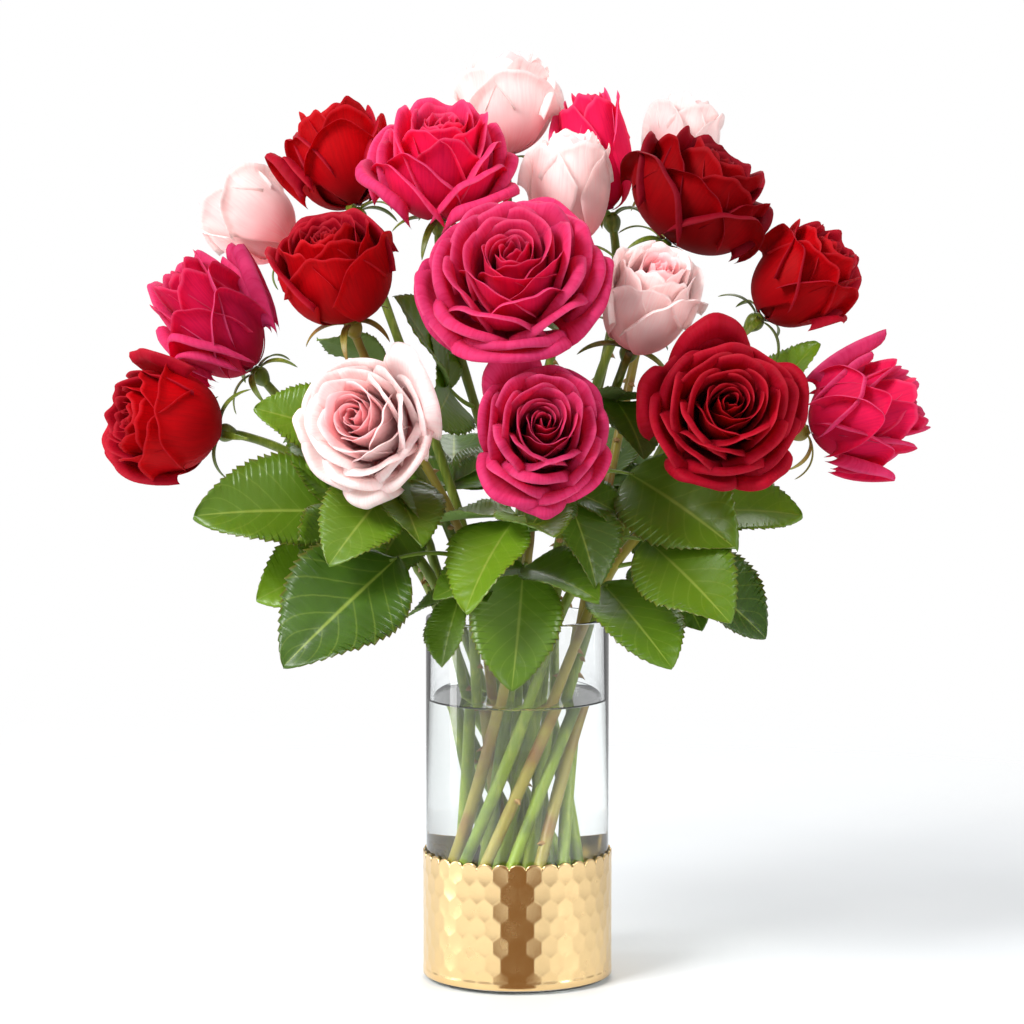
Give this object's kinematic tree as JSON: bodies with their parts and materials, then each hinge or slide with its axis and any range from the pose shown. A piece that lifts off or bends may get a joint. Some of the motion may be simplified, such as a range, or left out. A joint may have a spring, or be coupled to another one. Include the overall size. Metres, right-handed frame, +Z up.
{
  "type": "roses in a vase",
  "caption": "Mixed bunch of red, hot pink and pale pink roses with leafy stems standing in water in a clear glass cylinder vase with a gold honeycomb band.",
  "frame": {"origin": "centre of the vase's underside, on the surface it stands on", "axes": "+Z up along the vase; -Y is the front of the arrangement, +X its right"},
  "size_m": [0.4571, 0.2712, 0.5197],
  "materials": {
    "clear_glass": "gloss",
    "gold_plating": "satin",
    "water": "gloss",
    "petal_red": "satin",
    "petal_hot_pink": "satin",
    "petal_pale": "satin",
    "stem_green": "satin",
    "leaf_green": "satin"
  },
  "bodies": {
    "root": {"vase_glass": "clear_glass", "gold_band": "gold_plating", "water": "water", "red_rose_1_bloom": "petal_red", "red_rose_1_stem": "stem_green", "hot_pink_rose_2_bloom": "petal_hot_pink", "hot_pink_rose_2_stem": "stem_green", "pale_rose_3_bloom": "petal_pale", "pale_rose_3_stem": "stem_green", "red_rose_4_bloom": "petal_red", "red_rose_4_stem": "stem_green", "red_rose_5_bloom": "petal_red", "red_rose_5_stem": "stem_green", "hot_pink_rose_6_bloom": "petal_hot_pink", "hot_pink_rose_6_stem": "stem_green", "pale_rose_7_bloom": "petal_pale", "pale_rose_7_stem": "stem_green", "pale_rose_8_bloom": "petal_pale", "pale_rose_8_stem": "stem_green", "hot_pink_rose_9_bloom": "petal_hot_pink", "hot_pink_rose_9_stem": "stem_green", "pale_rose_10_bloom": "petal_pale", "pale_rose_10_stem": "stem_green", "red_rose_11_bloom": "petal_red", "red_rose_11_stem": "stem_green", "pale_rose_12_bloom": "petal_pale", "pale_rose_12_stem": "stem_green", "red_rose_13_bloom": "petal_red", "red_rose_13_stem": "stem_green", "hot_pink_rose_14_bloom": "petal_hot_pink", "hot_pink_rose_14_stem": "stem_green", "red_rose_15_bloom": "petal_red", "red_rose_15_stem": "stem_green", "hot_pink_rose_16_bloom": "petal_hot_pink", "hot_pink_rose_16_stem": "stem_green", "pale_rose_17_bloom": "petal_pale", "pale_rose_17_stem": "stem_green", "hot_pink_rose_18_bloom": "petal_hot_pink", "hot_pink_rose_18_stem": "stem_green", "leaf_1": "leaf_green", "leaf_2": "leaf_green", "leaf_3": "leaf_green", "leaf_4": "leaf_green", "leaf_5": "leaf_green", "leaf_6": "leaf_green", "leaf_7": "leaf_green", "leaf_8": "leaf_green", "leaf_9": "leaf_green", "leaf_10": "leaf_green", "leaf_11": "leaf_green", "leaf_12": "leaf_green", "leaf_13": "leaf_green", "leaf_14": "leaf_green", "leaf_15": "leaf_green", "leaf_16": "leaf_green", "leaf_17": "leaf_green", "leaf_18": "leaf_green", "leaf_19": "leaf_green", "leaf_20": "leaf_green", "leaf_21": "leaf_green"}
  },
  "joints": []
}
